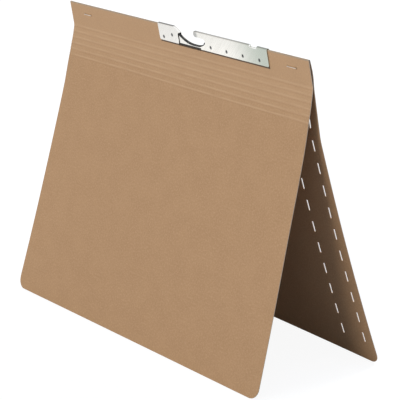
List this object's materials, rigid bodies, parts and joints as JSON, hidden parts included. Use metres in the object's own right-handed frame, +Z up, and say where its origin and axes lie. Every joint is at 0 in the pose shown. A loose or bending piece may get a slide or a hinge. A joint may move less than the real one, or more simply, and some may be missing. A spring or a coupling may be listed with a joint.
{
  "type": "hanging fastener folder",
  "caption": "Creased kraft board folder standing as a tent, with a sprung steel hook plate on its top edge to hang from a rail, tab slits, and a prong fastener inside for punched sheets.",
  "frame": {"origin": "on the ground, below the middle of the standing folder's box", "axes": "+X along the spine to the right of the front cover, +Y from the front cover to the back cover, +Z up"},
  "size_m": [0.318, 0.116, 0.2327],
  "materials": {
    "kraft_board": "uncoated brown kraft board with fine fibres",
    "strip_board": "uncoated brown board, a little darker",
    "nickel_steel": "bright nickel-plated rolled sheet",
    "coppered_wire": "copper-washed staple wire",
    "black_wire": "blackened spring wire, satin"
  },
  "bodies": {
    "spine": {"spine_fold": "kraft_board", "hanger_plate": "nickel_steel", "staple_left": "coppered_wire", "staple_right": "coppered_wire"},
    "spring": {"hook_spring": "black_wire"},
    "front_band": {"front_band": "kraft_board"},
    "front_cover": {"front_cover": "kraft_board"},
    "back_band": {"back_band": "kraft_board", "fastener_strip": "strip_board", "fastener_tongue": "nickel_steel", "cover_bar": "nickel_steel"},
    "back_cover": {"back_cover": "kraft_board"}
  },
  "joints": [
    {"name": "front_band_fold", "type": "hinge", "parent": "spine", "child": "front_band", "pos_m": [0, 0.00023, 0.21216], "axis": [-1, 0, 0], "range_deg": [-6.4, 90]},
    {"name": "front_cover_fold", "type": "hinge", "parent": "front_band", "child": "front_cover", "pos_m": [0, -0.00418, 0.18909], "axis": [-1, 0, 0], "range_deg": [-11.5, 75]},
    {"name": "back_band_fold", "type": "hinge", "parent": "spine", "child": "back_band", "pos_m": [0, 0.00142, 0.21237], "axis": [1, 0, 0], "range_deg": [0, 90]},
    {"name": "back_cover_fold", "type": "hinge", "parent": "back_band", "child": "back_cover", "pos_m": [0, 0.00664, 0.17523], "axis": [1, 0, 0], "range_deg": [-8.1, 75]},
    {"name": "spring_flex", "type": "hinge", "parent": "spine", "child": "spring", "pos_m": [0.00004, -0.00044, 0.2196], "axis": [0, 0.9854, 0.1702], "range_deg": [0, 1], "stiffness_Nm_per_rad": 2}
  ]
}
